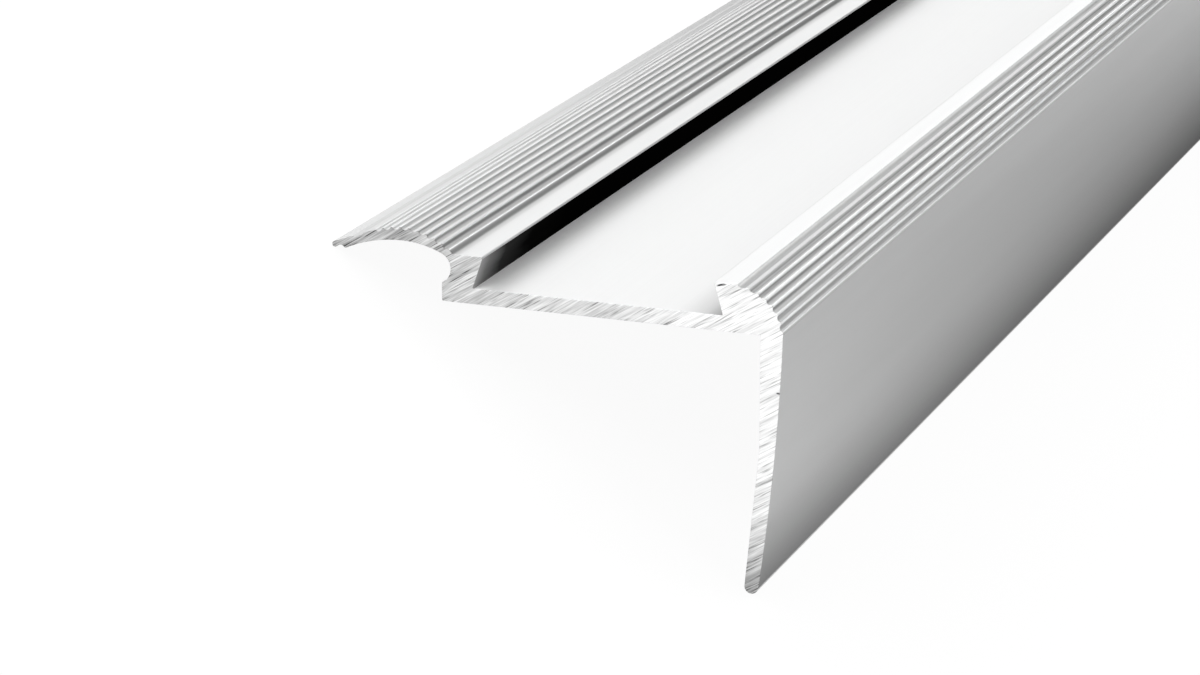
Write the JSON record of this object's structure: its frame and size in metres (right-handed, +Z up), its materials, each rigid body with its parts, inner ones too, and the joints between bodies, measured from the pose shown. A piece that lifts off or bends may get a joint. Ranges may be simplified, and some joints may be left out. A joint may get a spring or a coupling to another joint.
{
  "type": "stair nosing profile",
  "caption": "Extruded aluminium stair nosing: a fluted wing laps over the floor covering behind an undercut channel for an insert, and a fluted nose runs down into a riser leg.",
  "frame": {"origin": "on the floor under the middle of the bounding box, half way along the length", "axes": "+Y along the profile's length, the pictured end at -Y; +Z up; the wing's tip rests on the floor at -X and the riser's end at +X, so the base leans at 35 degrees"},
  "size_m": [0.069, 0.9, 0.0323],
  "materials": {
    "aluminium": "satin, silver anodised; bare metal with fine saw marks on the two sawn ends"
  },
  "bodies": {
    "root": {"nosing_profile": "aluminium"}
  },
  "joints": []
}
